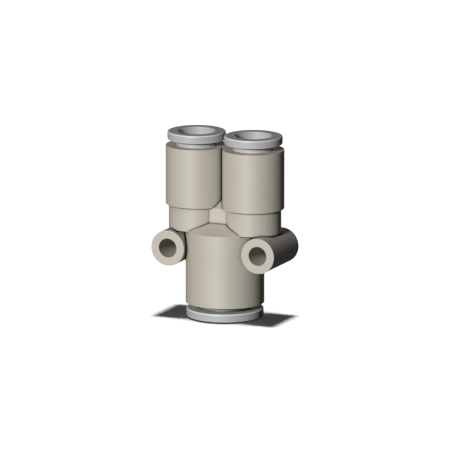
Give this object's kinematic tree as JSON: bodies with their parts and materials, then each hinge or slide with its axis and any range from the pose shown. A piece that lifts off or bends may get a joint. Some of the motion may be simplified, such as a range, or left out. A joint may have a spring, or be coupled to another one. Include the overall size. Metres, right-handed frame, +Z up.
{
  "type": "tubing y connector",
  "caption": "Push-in union Y for pneumatic tubing, with a large port below, smaller parallel ports above, cross-wise mounting tubes and press-to-release rings.",
  "frame": {"origin": "centre of the end face of the large port's release button, on which the fitting stands", "axes": "+Z up along the trunk towards the two branches, +X towards the right branch, Y along the mounting tubes"},
  "size_m": [0.0224, 0.0132, 0.0311],
  "materials": {
    "body_resin": "warm grey moulded thermoplastic polyester, fine satin",
    "guide_resin": "same resin as the body, fine satin",
    "button_resin": "pale grey acetal, satin",
    "collet_resin": "natural acetal, satin",
    "chuck_steel": "thin stainless sheet, as stamped",
    "seal_rubber": "black nitrile, matt"
  },
  "bodies": {
    "fitting": {"body": "body_resin", "trunk_guide_ring": "guide_resin", "trunk_collet": "collet_resin", "trunk_chuck": "chuck_steel", "trunk_seal": "seal_rubber", "left_guide_ring": "guide_resin", "left_collet": "collet_resin", "left_chuck": "chuck_steel", "left_seal": "seal_rubber", "right_guide_ring": "guide_resin", "right_collet": "collet_resin", "right_chuck": "chuck_steel", "right_seal": "seal_rubber"},
    "trunk_button": {"trunk_release_button": "button_resin"},
    "left_button": {"left_release_button": "button_resin"},
    "right_button": {"right_release_button": "button_resin"}
  },
  "joints": [
    {"name": "trunk_button_press", "type": "slide", "parent": "fitting", "child": "trunk_button", "axis": [0, 0, 1], "range_m": [0, 0.0009], "stiffness_N_per_m": 10, "springref_m": -0.005},
    {"name": "left_button_press", "type": "slide", "parent": "fitting", "child": "left_button", "axis": [0, 0, -1], "range_m": [0, 0.0009], "stiffness_N_per_m": 4, "springref_m": -0.001},
    {"name": "right_button_press", "type": "slide", "parent": "fitting", "child": "right_button", "axis": [0, 0, -1], "range_m": [0, 0.0009], "stiffness_N_per_m": 4, "springref_m": -0.001}
  ]
}
